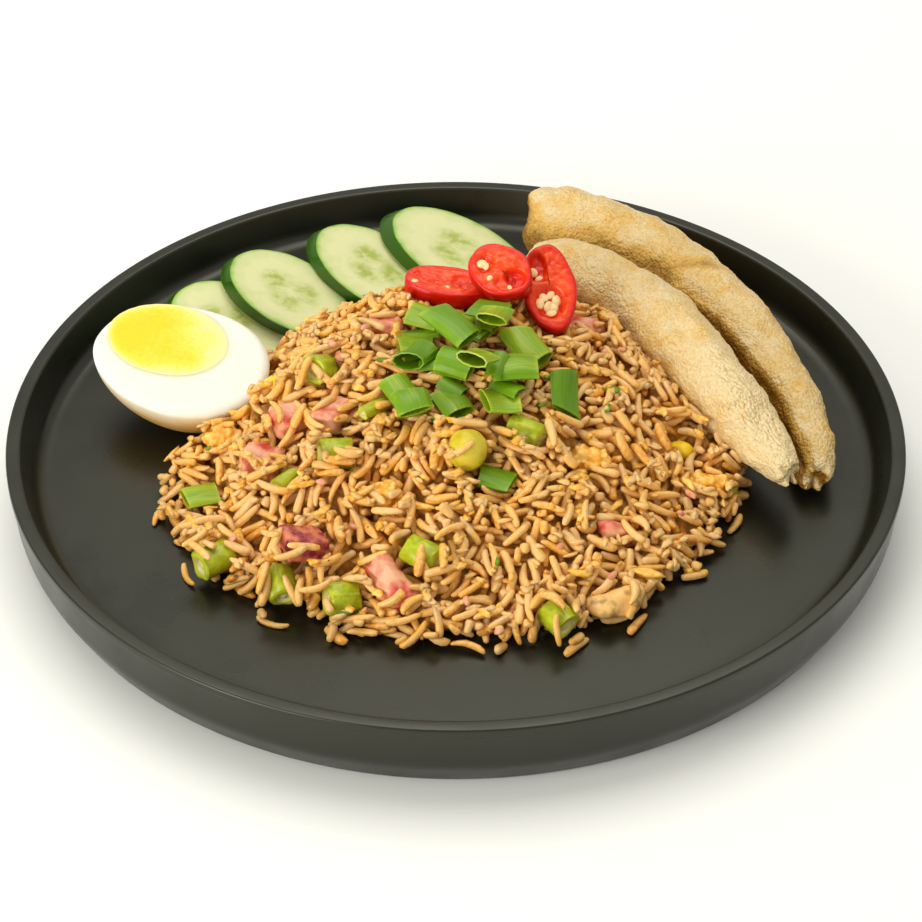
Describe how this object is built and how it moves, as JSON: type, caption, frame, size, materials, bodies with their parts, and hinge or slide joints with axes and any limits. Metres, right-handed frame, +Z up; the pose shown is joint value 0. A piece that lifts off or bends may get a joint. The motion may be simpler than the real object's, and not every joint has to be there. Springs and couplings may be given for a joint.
{
  "type": "plate of nasi goreng",
  "caption": "Heap of fried rice on a round black plate, with half a boiled egg, cucumber slices, fried fish sausages, chilli, spring onion, beans and ham.",
  "frame": {"origin": "centre of the plate's foot, on the table", "axes": "+Z up; +Y from the bare front of the plate to the cucumber slices at its back; +X to the fish sausages, with the egg at -X"},
  "size_m": [0.27, 0.27, 0.0658],
  "materials": {
    "black_melamine": "matt black, faintly olive",
    "fried_rice": "moist, lightly oiled, browned",
    "egg_white": "smooth, moist",
    "egg_yolk": "soft, fine-grained",
    "cucumber": "wet cut face, dark green skin",
    "fried_fish_sausage": "fried, finely blistered",
    "red_chilli": "glossy wet skin",
    "spring_onion": "smooth, waxy",
    "green_bean": "smooth, moist",
    "pea": "smooth, moist",
    "ham": "moist, cut",
    "scrambled_egg": "soft, moist",
    "sweetcorn": "smooth, moist",
    "browned_piece": "browned, rough"
  },
  "bodies": {
    "root": {"plate": "black_melamine", "rice_heap": "fried_rice", "egg_white": "egg_white", "egg_yolk": "egg_yolk", "cucumber_slice_1": "cucumber", "cucumber_slice_2": "cucumber", "cucumber_slice_3": "cucumber", "cucumber_slice_4": "cucumber", "fish_sausage_1": "fried_fish_sausage", "fish_sausage_2": "fried_fish_sausage", "chilli_slice_1": "red_chilli", "chilli_slice_2": "red_chilli", "chilli_slice_3": "red_chilli", "spring_onion_1": "spring_onion", "spring_onion_2": "spring_onion", "spring_onion_3": "spring_onion", "spring_onion_4": "spring_onion", "spring_onion_5": "spring_onion", "spring_onion_6": "spring_onion", "spring_onion_7": "spring_onion", "spring_onion_8": "spring_onion", "spring_onion_9": "spring_onion", "spring_onion_10": "spring_onion", "spring_onion_11": "spring_onion", "spring_onion_12": "spring_onion", "spring_onion_13": "spring_onion", "spring_onion_14": "spring_onion", "spring_onion_15": "spring_onion", "spring_onion_16": "spring_onion", "spring_onion_17": "spring_onion", "spring_onion_18": "spring_onion", "spring_onion_19": "spring_onion", "green_bean_1": "green_bean", "green_bean_2": "green_bean", "green_bean_3": "green_bean", "green_bean_4": "green_bean", "green_bean_5": "green_bean", "green_bean_6": "green_bean", "green_bean_7": "green_bean", "green_bean_8": "green_bean", "green_bean_9": "green_bean", "green_bean_10": "green_bean", "pea_1": "pea", "pea_2": "pea", "ham_1": "ham", "ham_2": "ham", "ham_3": "ham", "ham_4": "ham", "ham_5": "ham", "ham_6": "ham", "ham_7": "ham", "ham_8": "ham", "scrambled_egg_1": "scrambled_egg", "scrambled_egg_2": "scrambled_egg", "scrambled_egg_3": "scrambled_egg", "scrambled_egg_4": "scrambled_egg", "sweetcorn_1": "sweetcorn", "sweetcorn_2": "sweetcorn", "browned_piece": "browned_piece"}
  },
  "joints": []
}
